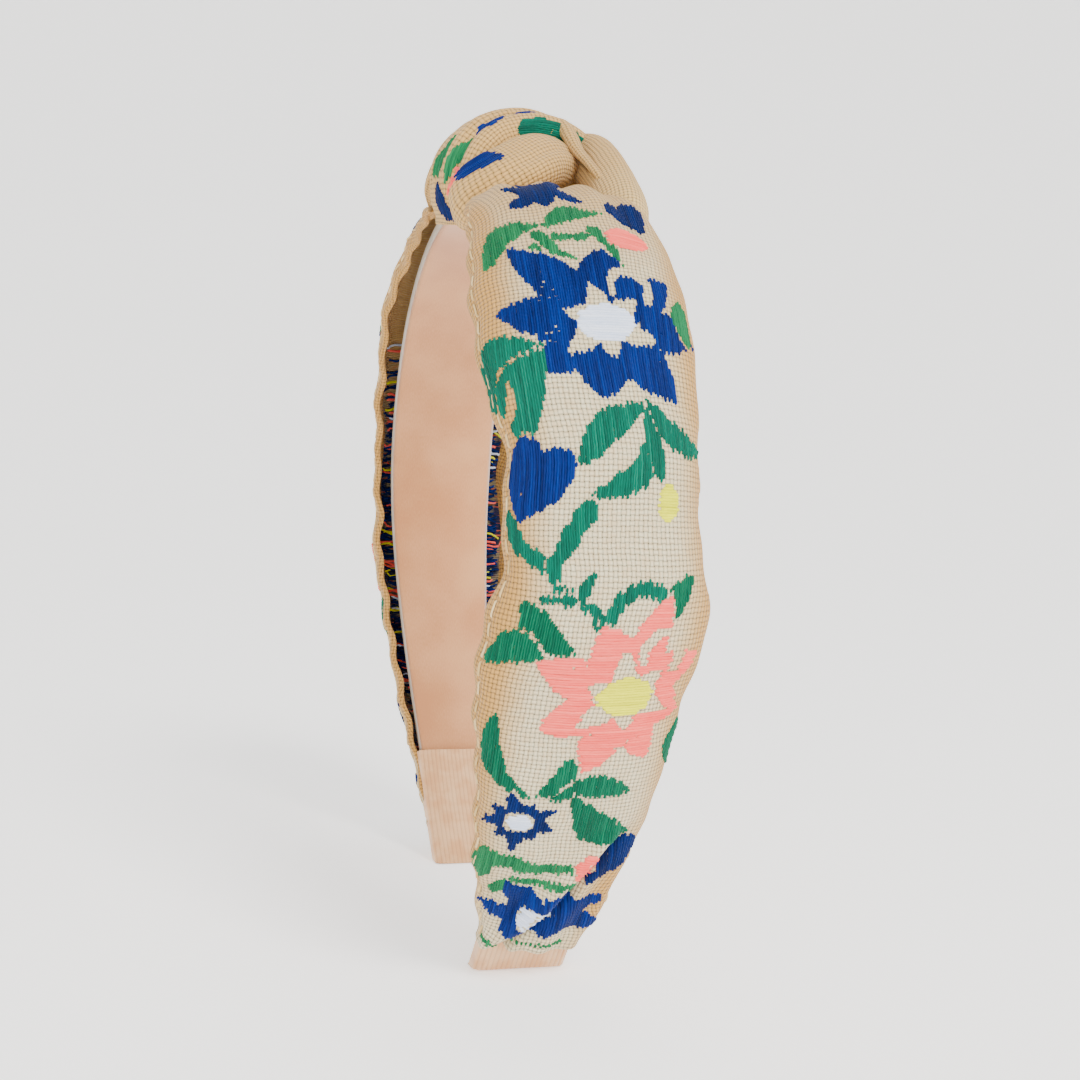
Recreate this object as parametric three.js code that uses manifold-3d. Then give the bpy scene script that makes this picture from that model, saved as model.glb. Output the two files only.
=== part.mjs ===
// A knotted headband: a sprung plastic band with a lining, two foam strips, a woven cover
// tied in a knot over the crown, and a ribbon cup on each tip.
// Millimetres. +X towards one tip, +Y towards the back of the head, +Z up, tips standing on z = 0.
import * as THREE from "three";
import { mergeVertices } from "three/addons/utils/BufferGeometryUtils.js";
import Module from "manifold-3d";

const wasm = await Module();
wasm.setup();

// ---- driving dimensions -------------------------------------------------------------------
const CROWN_RADIUS = 63; // of the band's inner face over the crown
const CROWN_ANGLE = THREE.MathUtils.degToRad(102); // where the crown arc meets the flatter leg
const TIP_ANGLE = THREE.MathUtils.degToRad(123); // slope of the leg at its tip
const HALF_LENGTH = 180; // along the band, from the crown to a tip
const TIP_SWAY = 5; // the knot's pull sets one tip forward and the other back
const GAP = 0.3; // air between touching pieces

const BAND_THICK = 1.6;
const BAND_WIDTH_CROWN = 23;
const BAND_WIDTH_TIP = 15;
const LINING_THICK = 0.6;
const FOAM_THICK = 2.2;
const FOAM_WIDTH = 15;
const COVER_THICK = 0.9;
const COVER_WIDTH = 37; // across the hems at the middle of a leg
const COVER_RISE = 9.5; // of the cover's arch above its hems
const COVER_START = 21;
const COVER_END = 171;
const CUP_LENGTH = 25;
const CUP_WALL = 0.7;
const KNOT_HEIGHT = 19; // above the band's outer face
const KNOT_REACH = 18; // from the middle of the knot to its front and rear
const THREAD_THICK = 0.5; // of the sewing thread in each hem

// ---- the band's centre line ---------------------------------------------------------------
const LEG_START = CROWN_RADIUS * CROWN_ANGLE;
const STEPS = 720;
const line = [{ x: 0, z: 0, angle: 0 }];
for (let i = 1; i <= STEPS; i++) {
  const s = ((i - 0.5) / STEPS) * HALF_LENGTH;
  const along = (s - LEG_START) / (HALF_LENGTH - LEG_START);
  const angle =
    s < LEG_START ? s / CROWN_RADIUS : CROWN_ANGLE + (TIP_ANGLE - CROWN_ANGLE) * along;
  const last = line[i - 1];
  const step = HALF_LENGTH / STEPS;
  line.push({ x: last.x + step * Math.cos(angle), z: last.z - step * Math.sin(angle), angle });
}
const BAND_HEIGHT = -line[STEPS].z; // tips to the inner face of the crown

// The point `off` mm outside the band's inner face and y across it, at s mm from the crown.
function onBand(s, y, off) {
  const share = Math.min(Math.abs(s) / HALF_LENGTH, 1);
  const { x, z, angle } = line[Math.round(share * STEPS)];
  const beyond = Math.max(Math.abs(s) - HALF_LENGTH, 0);
  const side = s < 0 ? -1 : 1;
  return new THREE.Vector3(
    side * (x + off * Math.sin(angle) + beyond * Math.cos(angle)),
    y - side * TIP_SWAY * share * share,
    BAND_HEIGHT + z + off * Math.cos(angle) - beyond * Math.sin(angle),
  );
}

// ---- solids -------------------------------------------------------------------------------
// A closed solid through rings of points, each ring the same closed outline further along.
function loft(rings) {
  const n = rings[0].length;
  const points = rings.flat().flatMap((p) => [p.x, p.y, p.z]);
  const faces = [];
  for (let i = 0; i + 1 < rings.length; i++)
    for (let j = 0; j < n; j++) {
      const [a, b] = [i * n + j, i * n + ((j + 1) % n)];
      faces.push(a, b, b + n, a, b + n, a + n);
    }
  const last = (rings.length - 1) * n;
  const middle = rings[0].reduce((sum, p) => sum.add(p), new THREE.Vector3()).divideScalar(n);
  const normal = newell(rings[0]);
  const u = new THREE.Vector3().subVectors(rings[0][0], middle).normalize();
  const v = new THREE.Vector3().crossVectors(normal, u);
  const flat = rings[0].map((p) => {
    const d = new THREE.Vector3().subVectors(p, middle);
    return new THREE.Vector2(d.dot(u), d.dot(v));
  });
  for (const [a, b, c] of THREE.ShapeUtils.triangulateShape(flat, [])) {
    faces.push(a, c, b);
    faces.push(last + a, last + b, last + c);
  }
  const solid = solidFrom(points, faces);
  return solid.volume() > 0 ? solid : solidFrom(points, faces.reverse());
}

function newell(ring) {
  const normal = new THREE.Vector3();
  ring.forEach((p, i) => {
    const q = ring[(i + 1) % ring.length];
    normal.x += (p.y - q.y) * (p.z + q.z);
    normal.y += (p.z - q.z) * (p.x + q.x);
    normal.z += (p.x - q.x) * (p.y + q.y);
  });
  return normal.normalize();
}

function solidFrom(points, faces) {
  return new wasm.Manifold(
    new wasm.Mesh({
      numProp: 3,
      vertProperties: new Float32Array(points),
      triVerts: new Uint32Array(faces),
    }),
  );
}

function solidOf(geometry) {
  const g = geometry.clone();
  g.deleteAttribute("normal");
  g.deleteAttribute("uv");
  const merged = mergeVertices(g, 1e-4);
  return solidFrom(merged.attributes.position.array, merged.index.array);
}

// A section swept along the band: section(s) gives [y, off] pairs.
function sweep(from, to, count, section) {
  const rings = [];
  for (let i = 0; i <= count; i++) {
    const s = from + ((to - from) * i) / count;
    rings.push(section(s).map(([y, off]) => onBand(s, y, off)));
  }
  return loft(rings);
}

function strip(from, to, count, low, high, width) {
  return sweep(from, to, count, (s) => {
    const half = width(s) / 2;
    return [
      [-half, low],
      [half, low],
      [half, high],
      [-half, high],
    ];
  });
}

const meshes = [];
function add(name, solid, colour, roughness) {
  const made = solid.getMesh();
  const geometry = new THREE.BufferGeometry();
  geometry.setAttribute("position", new THREE.BufferAttribute(made.vertProperties, 3));
  geometry.setIndex(new THREE.BufferAttribute(made.triVerts, 1));
  geometry.computeVertexNormals();
  const material = new THREE.MeshStandardMaterial({ color: colour, roughness, metalness: 0 });
  const mesh = new THREE.Mesh(geometry, material);
  mesh.name = name;
  meshes.push(mesh);
}

// ---- band, lining and foam ----------------------------------------------------------------
function bandWidth(s) {
  const share = Math.abs(s) / HALF_LENGTH;
  const taper = THREE.MathUtils.smoothstep(share, 0.45, 1);
  return BAND_WIDTH_CROWN + (BAND_WIDTH_TIP - BAND_WIDTH_CROWN) * taper;
}

const BAND_END = HALF_LENGTH - 1.5;
const band = strip(-BAND_END, BAND_END, 96, 0, BAND_THICK, bandWidth);
add("core_band", band, 0xe9e4da, 0.4);

const LINING_TOP = -GAP;
const LINING_BOTTOM = LINING_TOP - LINING_THICK;
const LINING_END = BAND_END - 4;
const lining = strip(-LINING_END, LINING_END, 96, LINING_BOTTOM, LINING_TOP, bandWidth);
add("lining_strip", lining, 0xcfae92, 0.6);

const FOAM_FROM = 24;
const FOAM_TO = 148;
for (const [name, side] of [["right", 1], ["left", -1]]) {
  const low = BAND_THICK + GAP;
  const foam = strip(side * FOAM_FROM, side * FOAM_TO, 36, low, low + FOAM_THICK, () => FOAM_WIDTH);
  add("foam_strip_" + name, foam, 0xf2efe6, 0.9);
}

// ---- the cover's two legs -----------------------------------------------------------------
// Half the distance between the hems, and the arch's rise, at s mm from the crown.
function coverHalf(s) {
  const share = Math.abs(s) / HALF_LENGTH;
  const full = COVER_WIDTH / 2;
  const knotEnd = THREE.MathUtils.lerp(0.74, 1, THREE.MathUtils.smoothstep(share, 0.08, 0.32));
  const tipEnd = THREE.MathUtils.lerp(1, 0.5, THREE.MathUtils.smoothstep(share, 0.6, 0.97));
  return full * Math.min(knotEnd, tipEnd);
}

function coverRise(s) {
  const share = Math.abs(s) / HALF_LENGTH;
  const tipEnd = THREE.MathUtils.smoothstep(share, 0.72, 0.96);
  return COVER_RISE - 4.6 * tipEnd;
}

const ARCH_POINTS = 14;
const ARCH_POWER = 0.62; // fuller than a semi-ellipse at the shoulders
const HEM_LEVEL = 0.4;
function archSection(s) {
  const points = [];
  const rim = (inset, k) => {
    const a = (k / ARCH_POINTS) * Math.PI;
    const half = coverHalf(s) - inset;
    const rise = coverRise(s) - inset;
    return [
      -half * Math.cos(a),
      HEM_LEVEL + rise * Math.pow(Math.sin(a), ARCH_POWER),
    ];
  };
  for (let k = 0; k <= ARCH_POINTS; k++) points.push(rim(0, k));
  for (let k = ARCH_POINTS; k >= 0; k--) points.push(rim(COVER_THICK, k));
  return points;
}

for (const [name, side] of [["right", 1], ["left", -1]]) {
  const leg = sweep(side * COVER_START, side * COVER_END, 44, archSection);
  add("cover_leg_" + name, leg, 0xd9c6a0, 0.9);
}

// The sewing thread that holds each turned hem, just inside the hem's edge.
const THREAD_SIDES = 6;
function hemThread(side, edge) {
  return sweep(side * (COVER_START + 5), side * (COVER_END - 4), 60, (s) => {
    const ring = [];
    for (let j = 0; j < THREAD_SIDES; j++) {
      const a = (j / THREAD_SIDES) * 2 * Math.PI;
      const y = edge * (coverHalf(s) - COVER_THICK - GAP - THREAD_THICK);
      ring.push([
        y + (THREAD_THICK / 2) * Math.cos(a),
        HEM_LEVEL + 1 + (THREAD_THICK / 2) * Math.sin(a),
      ]);
    }
    return ring;
  });
}

// ---- tip cups -----------------------------------------------------------------------------
const CUP_INNER = LINING_BOTTOM - GAP;
const CUP_OUTER = BAND_THICK + GAP;
function cupBlock(side, from, to, grow) {
  const width = (s) => bandWidth(Math.min(Math.abs(s), HALF_LENGTH)) + 2 * (GAP + grow);
  return strip(side * from, side * to, 12, CUP_INNER - grow, CUP_OUTER + grow, width);
}

const FLOOR_BLOCK = new THREE.BoxGeometry(300, 100, 20).translate(0, 0, -10);
const belowFloor = solidOf(FLOOR_BLOCK);
for (const [name, side] of [["right", 1], ["left", -1]]) {
  const outer = cupBlock(side, HALF_LENGTH - CUP_LENGTH, HALF_LENGTH + 3, CUP_WALL);
  const inner = cupBlock(side, HALF_LENGTH - CUP_LENGTH - 4, BAND_END + GAP, 0);
  const arch = sweep(side * (COVER_START + 100), side * (COVER_END + GAP), 30, (s) => {
    const half = coverHalf(s) + GAP;
    const top = HEM_LEVEL + coverRise(s) + 1;
    return [
      [-half - 1, HEM_LEVEL - GAP],
      [half + 1, HEM_LEVEL - GAP],
      [half + 1, top],
      [-half - 1, top],
    ];
  });
  const cup = outer.subtract(inner).subtract(belowFloor);
  // The cover's gathered end lies over the cup, so the cup's upper wall starts past it.
  add("tip_cup_" + name, cup.subtract(arch), 0xe2c6a6, 0.8);
}

// ---- the knot -----------------------------------------------------------------------------
// A fat strap of cloth along a curve: flattened rings, rounded at both ends.
function strap(path, width, thick, grow = 0) {
  const curve = new THREE.CatmullRomCurve3(path.map(([x, y, up]) => crownPoint(x, y, up)));
  const count = 22;
  const sides = 14;
  const rings = [];
  for (let i = 0; i <= count; i++) {
    const t = i / count;
    const centre = curve.getPointAt(t);
    const along = curve.getTangentAt(t);
    const hub = new THREE.Vector3(centre.x * 0.4, 0, crownPoint(centre.x * 0.4, 0, -4).z);
    const out = new THREE.Vector3().subVectors(centre, hub);
    out.addScaledVector(along, -out.dot(along)).normalize();
    const across = new THREE.Vector3().crossVectors(along, out);
    const end = Math.sqrt(Math.max(1 - Math.pow(2 * t - 1, 6), 0.12));
    const ring = [];
    for (let j = 0; j < sides; j++) {
      const a = (j / sides) * 2 * Math.PI;
      const w = (width(t) * end) / 2 + grow;
      const h = (thick(t) * end) / 2 + grow;
      ring.push(
        centre
          .clone()
          .addScaledVector(across, w * Math.cos(a))
          .addScaledVector(out, h * Math.sin(a)),
      );
    }
    rings.push(ring);
  }
  return loft(rings);
}

// x and y from the middle of the knot, `up` above the band's outer face at the crown.
function crownPoint(x, y, up) {
  const drop = CROWN_RADIUS - Math.sqrt(CROWN_RADIUS * CROWN_RADIUS - x * x);
  return new THREE.Vector3(x, y, BAND_HEIGHT + BAND_THICK + up - drop);
}

// The loop over the top runs slantwise from the front, beside the right leg, to the rear,
// and round the band's edges; each fold runs from the loop down to one leg's far hem.
const LOOP_THICK = 11;
const R = KNOT_REACH;
const H = KNOT_HEIGHT - LOOP_THICK / 2;
const loopPath = [
  [8, -R + 6, 1.5],
  [7, -R + 5.5, 6],
  [4.5, -R * 0.5, H - 2.2],
  [0, 0, H],
  [-4.5, R * 0.5, H - 2.2],
  [-7, R - 5.5, 6],
  [-8, R - 6, 1.5],
];
const loopWidth = () => 25;
const loopThick = () => LOOP_THICK;
const loop = strap(loopPath, loopWidth, loopThick);
const loopGrown = strap(loopPath, loopWidth, loopThick, GAP + 0.1);
add("knot_loop", loop, 0xd9c6a0, 0.9);

const foldPath = [
  [3, 9.5, H - 4],
  [9, 11, 10.5],
  [19, 12, 9],
  [32, 11.5, 8.5],
];
const foldWidth = () => 10;
const foldThick = (t) => 9 - 2.5 * t;
const turned = (path) => path.map(([x, y, up]) => [-x, -y, up]);

// The strand that passes under the loop, joining the two legs over the band.
const passPath = [
  [-27, 2, 5.2],
  [-12, 1, 5.6],
  [12, -1, 5.6],
  [27, -2, 5.2],
];
const passWidth = (t) => 22 - 4 * Math.cos(2 * Math.PI * t);
const passThick = () => 7.2;
const pass = strap(passPath, passWidth, passThick);
const passGrown = strap(passPath, passWidth, passThick, GAP + 0.1);
const legsGrown = [1, -1].map((side) =>
  sweep(side * (COVER_START - GAP), side * (COVER_END + GAP), 44, (s) => {
    const half = coverHalf(s) + GAP;
    const top = (k) => HEM_LEVEL + (coverRise(s) + GAP) * Math.pow(Math.sin(k), ARCH_POWER);
    const points = [];
    for (let k = 0; k <= ARCH_POINTS; k++) {
      const a = (k / ARCH_POINTS) * Math.PI;
      points.push([-half * Math.cos(a), top(a) - (k % ARCH_POINTS ? 0 : GAP)]);
    }
    return points;
  }),
);
const legs = legsGrown[0].add(legsGrown[1]);
const passCut = pass.subtract(legs).subtract(loopGrown);
const passBodies = passCut.decompose().sort((a, b) => b.volume() - a.volume());
add("knot_pass", passBodies[0], 0xd2bd95, 0.9);

for (const [name, path] of [["right", foldPath], ["left", turned(foldPath)]]) {
  const whole = strap(path, foldWidth, foldThick);
  const cut = whole.subtract(loopGrown).subtract(passGrown).subtract(legs);
  const bodies = cut.decompose().sort((a, b) => b.volume() - a.volume());
  add("knot_fold_" + name, bodies[0], 0xd9c6a0, 0.9);
}

for (const [name, side] of [["right", 1], ["left", -1]])
  for (const [place, edge] of [["front", -1], ["rear", 1]])
    add("hem_thread_" + name + "_" + place, hemThread(side, edge), 0xc9ad7c, 0.8);

const headband = new THREE.Group();
meshes.forEach((mesh) => headband.add(mesh));
export default headband;
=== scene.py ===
"""A knotted headband: an embroidered linen cover tied over a sprung band, with ribbon tips.

Lengths are in millimetres until mesh_piece() scales them to metres.  s runs along a leg from
the crown to a tip, w across the cloth from its crest, +w towards +Y.
"""
import math

import bpy
import numpy as np
from mathutils import Matrix


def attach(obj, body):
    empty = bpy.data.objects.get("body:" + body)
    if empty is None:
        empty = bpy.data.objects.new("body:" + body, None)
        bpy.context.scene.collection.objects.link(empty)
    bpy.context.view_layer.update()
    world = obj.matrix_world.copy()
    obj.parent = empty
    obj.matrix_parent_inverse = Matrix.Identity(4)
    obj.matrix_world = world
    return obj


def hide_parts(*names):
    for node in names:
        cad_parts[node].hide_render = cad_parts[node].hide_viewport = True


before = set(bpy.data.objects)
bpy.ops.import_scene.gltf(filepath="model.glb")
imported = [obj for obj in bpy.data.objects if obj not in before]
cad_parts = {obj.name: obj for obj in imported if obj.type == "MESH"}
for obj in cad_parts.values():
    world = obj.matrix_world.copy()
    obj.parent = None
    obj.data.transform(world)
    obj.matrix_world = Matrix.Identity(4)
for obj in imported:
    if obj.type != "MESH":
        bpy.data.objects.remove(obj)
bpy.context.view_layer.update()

MM = 0.001
rng = np.random.default_rng(7)

# ---- the band's centre line, as in the CAD ----------------------------------------------------
CROWN_RADIUS = 63.0
CROWN_ANGLE = math.radians(102)
TIP_ANGLE = math.radians(123)
HALF_LENGTH = 180.0
TIP_SWAY = 5.0
BAND_THICK = 1.6

LEG_START = CROWN_RADIUS * CROWN_ANGLE
LINE_S = np.linspace(0, HALF_LENGTH, 1441)
LINE_ANGLE = np.where(
    LINE_S < LEG_START,
    LINE_S / CROWN_RADIUS,
    CROWN_ANGLE + (TIP_ANGLE - CROWN_ANGLE) * (LINE_S - LEG_START) / (HALF_LENGTH - LEG_START),
)
MID_ANGLE = (LINE_ANGLE[1:] + LINE_ANGLE[:-1]) / 2
LINE_X = np.concatenate([[0], np.cumsum(np.cos(MID_ANGLE) * np.diff(LINE_S))])
LINE_Z = np.concatenate([[0], -np.cumsum(np.sin(MID_ANGLE) * np.diff(LINE_S))])
BAND_HEIGHT = -LINE_Z[-1]


def on_band(side, s, y, off):
    """Points `off` outside the band's inner face and y across it."""
    s = np.asarray(s, float)
    near = np.minimum(s, HALF_LENGTH)
    angle = np.interp(near, LINE_S, LINE_ANGLE)
    beyond = s - near
    x = np.interp(near, LINE_S, LINE_X) + off * np.sin(angle) + beyond * np.cos(angle)
    z = np.interp(near, LINE_S, LINE_Z) + off * np.cos(angle) - beyond * np.sin(angle)
    sway = side * TIP_SWAY * (near / HALF_LENGTH) ** 2
    return np.stack(np.broadcast_arrays(side * x, y - sway, BAND_HEIGHT + z), -1)


def smooth(x, low, high):
    t = np.clip((x - low) / (high - low), 0, 1)
    return t * t * (3 - 2 * t)


def ridge(x, width):
    return np.exp(-((x / width) ** 2))


def band_width(s):
    return 23.0 - 8.0 * smooth(s / HALF_LENGTH, 0.45, 1)


# ---- the cover's legs --------------------------------------------------------------------------
COVER_FROM, COVER_TO = 7.0, 171.0
COVER_ROWS = 206
OUTER_COLS = 84
INNER_COLS = 40
COVER_HALF = 18.5
COVER_HEIGHT = 9.5
HEM_LEVEL = 0.4
CLOTH = 0.55
HEM_CLOTH = 1.25
HEM_WIDTH = 6.5
STITCH_LINE = 2.2

# How far each hem strays outwards from the even outline: s along the leg, then the stray.
STRAY = {
    (1, -1): ([7, 30, 52, 68, 76, 83, 91, 98, 108, 120, 133, 152, 171],
              [0.5, 1.9, 2.1, 1.5, -1.0, -2.6, -1.3, -2.8, 0.2, 1.2, 1.0, 2.2, 0.0]),
    (1, 1): ([7, 34, 50, 74, 90, 98, 104, 112, 120, 138, 150, 162, 171],
             [0.0, 0.8, -0.8, -1.8, -1.9, -1.2, 0.7, 0.2, -0.8, 1.0, 2.2, 2.2, 0.2]),
    (-1, -1): ([7, 36, 52, 68, 76, 84, 92, 100, 108, 116, 132, 148, 171],
               [3.0, -0.6, -1.4, -2.8, -2.4, -3.4, -3.0, -4.0, -3.3, -4.0, -3.0, -1.5, -0.6]),
    (-1, 1): ([7, 30, 52, 68, 80, 92, 104, 116, 130, 150, 171],
              [0.5, 1.2, 0.6, -1.0, 0.4, -1.4, 0.5, -0.9, 0.8, 1.2, 0.0]),
}


def stray(side, edge, s):
    """The smoothed stray of one hem at s."""
    at, out = STRAY[(side, edge)]
    fine = np.linspace(at[0], at[-1], 400)
    soft = np.convolve(np.pad(np.interp(fine, at, out), 9, mode="edge"), np.hanning(19), "valid")
    return np.interp(s, fine, soft / np.hanning(19).sum())


def cover_half(s):
    """Half the cover's width at s, narrow at the knot and at the tip."""
    share = s / HALF_LENGTH
    knot_end = 0.74 + 0.26 * smooth(share, 0.08, 0.32)
    tip_end = 1 - 0.5 * smooth(share, 0.6, 0.97)
    return COVER_HALF * np.minimum(knot_end, tip_end)


def cover_rise(s):
    """How far the cover's crest stands above its hems at s."""
    tip = 4.6 * smooth(s / HALF_LENGTH, 0.72, 0.96)
    under_knot = 0.25 + 0.75 * smooth(s, 10, 35)
    return (COVER_HEIGHT - tip + 1.2 * ridge(s - 27, 9)) * under_knot


def wrinkles(side, s, w, edge):
    """Height of the cloth's folds above its even arch; edge is the distance to the hem."""
    w = w * side
    near_knot = (1 - smooth(s, 16, 52)) * smooth(s, 15, 28)
    fan = 0.75 * np.cos(2 * np.pi * (w - 1.5 - 0.10 * s) / (4.6 + 0.11 * s)) * near_knot
    sag = 0.30 * np.sin(0.11 * s + 0.9 + 0.06 * w) + 0.22 * np.sin(0.17 * s - 0.21 * w)
    ripple = 0.38 * np.sin(0.62 * s + 1.2 * np.sin(0.05 * s)) * ridge(edge, 4.0)
    near_tip = smooth(s, 138, 160)
    pleats = 0.45 * np.cos(2 * np.pi * (w + 0.25 * (s - 150)) / 6.2) * near_tip
    cut = w - (9.0 - 0.62 * (s - 146))
    crease = (2.2 * ridge(cut + 2.8, 2.4) - 4.4 * ridge(cut, 1.4)) * smooth(s, 140, 153)
    stitches = -0.30 * ridge(edge - STITCH_LINE, 0.55)
    return (fan + sag + pleats + crease) * smooth(edge, 0, 6) + ripple + stitches


def arch(side, s):
    """The outer line of the cloth at s: y, off, and w along it, evenly spaced."""
    a = np.linspace(0, np.pi, 360)
    swell = np.where(np.cos(a) > 0, stray(side, -1, s), stray(side, 1, s)) * np.abs(np.cos(a))
    y = -(cover_half(s)) * np.cos(a) - np.sign(np.cos(a)) * swell
    off = HEM_LEVEL + cover_rise(s) * np.sin(a) ** 0.62
    length = np.concatenate([[0], np.cumsum(np.hypot(np.diff(y), np.diff(off)))])
    even = np.linspace(0, length[-1], OUTER_COLS)
    y, off = np.interp(even, length, y), np.interp(even, length, off)
    w = even - length[-1] / 2
    ny, no = -np.gradient(off), np.gradient(y)
    size = np.hypot(ny, no)
    ny, no = ny / size, no / size
    edge = length[-1] / 2 - np.abs(w)
    lift = wrinkles(side, s, w, edge)
    return y + ny * lift, off + no * lift, w, ny, no, edge


def cover_rows(side):
    """Outer points, w, inner points for every row of one leg's cloth."""
    outer, across, inner = [], [], []
    for s in np.linspace(COVER_FROM, COVER_TO, COVER_ROWS):
        y, off, w, ny, no, edge = arch(side, s)
        outer.append(on_band(side, s, y, off))
        across.append(w)
        pick = np.linspace(0, OUTER_COLS - 1, INNER_COLS)
        columns = np.arange(OUTER_COLS)
        yi, oi, ei, nyi, noi = (np.interp(pick, columns, q) for q in (y, off, edge, ny, no))
        thick = CLOTH + (HEM_CLOTH - CLOTH) * (1 - smooth(ei, HEM_WIDTH - 0.7, HEM_WIDTH))
        inner.append(on_band(side, s, yi - nyi * thick, oi - noi * thick)[::-1])
    return np.array(outer), np.array(across), np.array(inner)


LEGS = {side: cover_rows(side) for side in (1, -1)}


# ---- surfaces ----------------------------------------------------------------------------------
TABLE_STEP = 0.4


class Surface:
    """A grid of points with cloth coordinates: one s for each row, w for each point."""

    def __init__(self, points, s, w, flip=1):
        self.s = s
        self.low, self.high = w[:, 0], w[:, -1]
        self.w = np.arange(w.min(), w.max(), TABLE_STEP)
        self.table = np.array(
            [[np.interp(self.w, row_w, row[:, k]) for k in range(3)]
             for row_w, row in zip(w, points)]
        ).transpose(0, 2, 1)
        down = np.gradient(self.table, axis=0)
        across = np.gradient(self.table, axis=1)
        normal = np.cross(across, down)
        size = np.linalg.norm(normal, axis=2, keepdims=True)
        self.normal = flip * normal / np.maximum(size, 1e-9)

    def place(self, w, s, height):
        """The points at w and s, height millimetres off the cloth."""
        row = np.clip(np.interp(s, self.s, np.arange(len(self.s))), 0, len(self.s) - 1.001)
        col = np.clip((w - self.w[0]) / TABLE_STEP, 0, len(self.w) - 1.001)
        i, j = row.astype(int), col.astype(int)
        a, b = (row - i)[..., None], (col - j)[..., None]

        def mix(t):
            top = t[i, j] * (1 - b) + t[i, j + 1] * b
            return top * (1 - a) + (t[i + 1, j] * (1 - b) + t[i + 1, j + 1] * b) * a

        return mix(self.table) + mix(self.normal) * height[..., None]

    def margin(self, w, s):
        """The distance to the nearer edge."""
        low, high = np.interp(s, self.s, self.low), np.interp(s, self.s, self.high)
        return np.minimum(w - low, high - w)


def mesh_piece(name, points, faces, uvs, materials, face_material=None):
    """A smooth mesh from millimetre points; uvs has one pair for each face corner."""
    mesh = bpy.data.meshes.new(name)
    mesh.from_pydata((np.asarray(points).reshape(-1, 3) * MM).tolist(), [], faces)
    layer = mesh.uv_layers.new(name="cloth")
    layer.data.foreach_set("uv", np.asarray(uvs, np.float32).ravel())
    for material in materials:
        mesh.materials.append(material)
    if face_material is not None:
        mesh.polygons.foreach_set("material_index", np.asarray(face_material, np.int32))
    mesh.shade_smooth()
    piece = bpy.data.objects.new(name, mesh)
    bpy.context.scene.collection.objects.link(piece)
    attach(piece, "root")
    return piece


def tube_piece(name, rings, uv, materials, open_ends=(), slit=False, ring_material=None):
    """A tube through rings, capped at the ends not in open_ends and slit along its last column;
    uv has one column more than the rings."""
    rows, cols = rings.shape[:2]
    faces, uvs, chosen = [], [], []
    for i in range(rows - 1):
        for j in range(cols - slit):
            k = (j + 1) % cols
            faces.append((i * cols + j, i * cols + k, (i + 1) * cols + k, (i + 1) * cols + j))
            uvs += [uv[i, j], uv[i, j + 1], uv[i + 1, j + 1], uv[i + 1, j]]
            chosen.append(0 if ring_material is None else ring_material[j])
    v = rings.reshape(-1, 3)
    v = v - v.mean(0)
    tri = np.array([(f[0], f[1], f[2]) for f in faces] + [(f[0], f[2], f[3]) for f in faces])
    for row, order in ((0, range(cols - 1, -1, -1)), (rows - 1, range(cols))):
        if row in open_ends:
            continue
        faces.append(tuple(row * cols + j for j in order))
        uvs += [uv[row, j] for j in order]
        chosen.append(0)
    volume = np.einsum("ij,ij->i", v[tri[:, 0]], np.cross(v[tri[:, 1]], v[tri[:, 2]])).sum()
    if volume < 0:
        turned, at = [], 0
        for n, f in enumerate(faces):
            turned += uvs[at:at + len(f)][::-1]
            at += len(f)
            faces[n] = f[::-1]
        uvs = turned
    return mesh_piece(name, rings, faces, uvs, materials, chosen)


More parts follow.
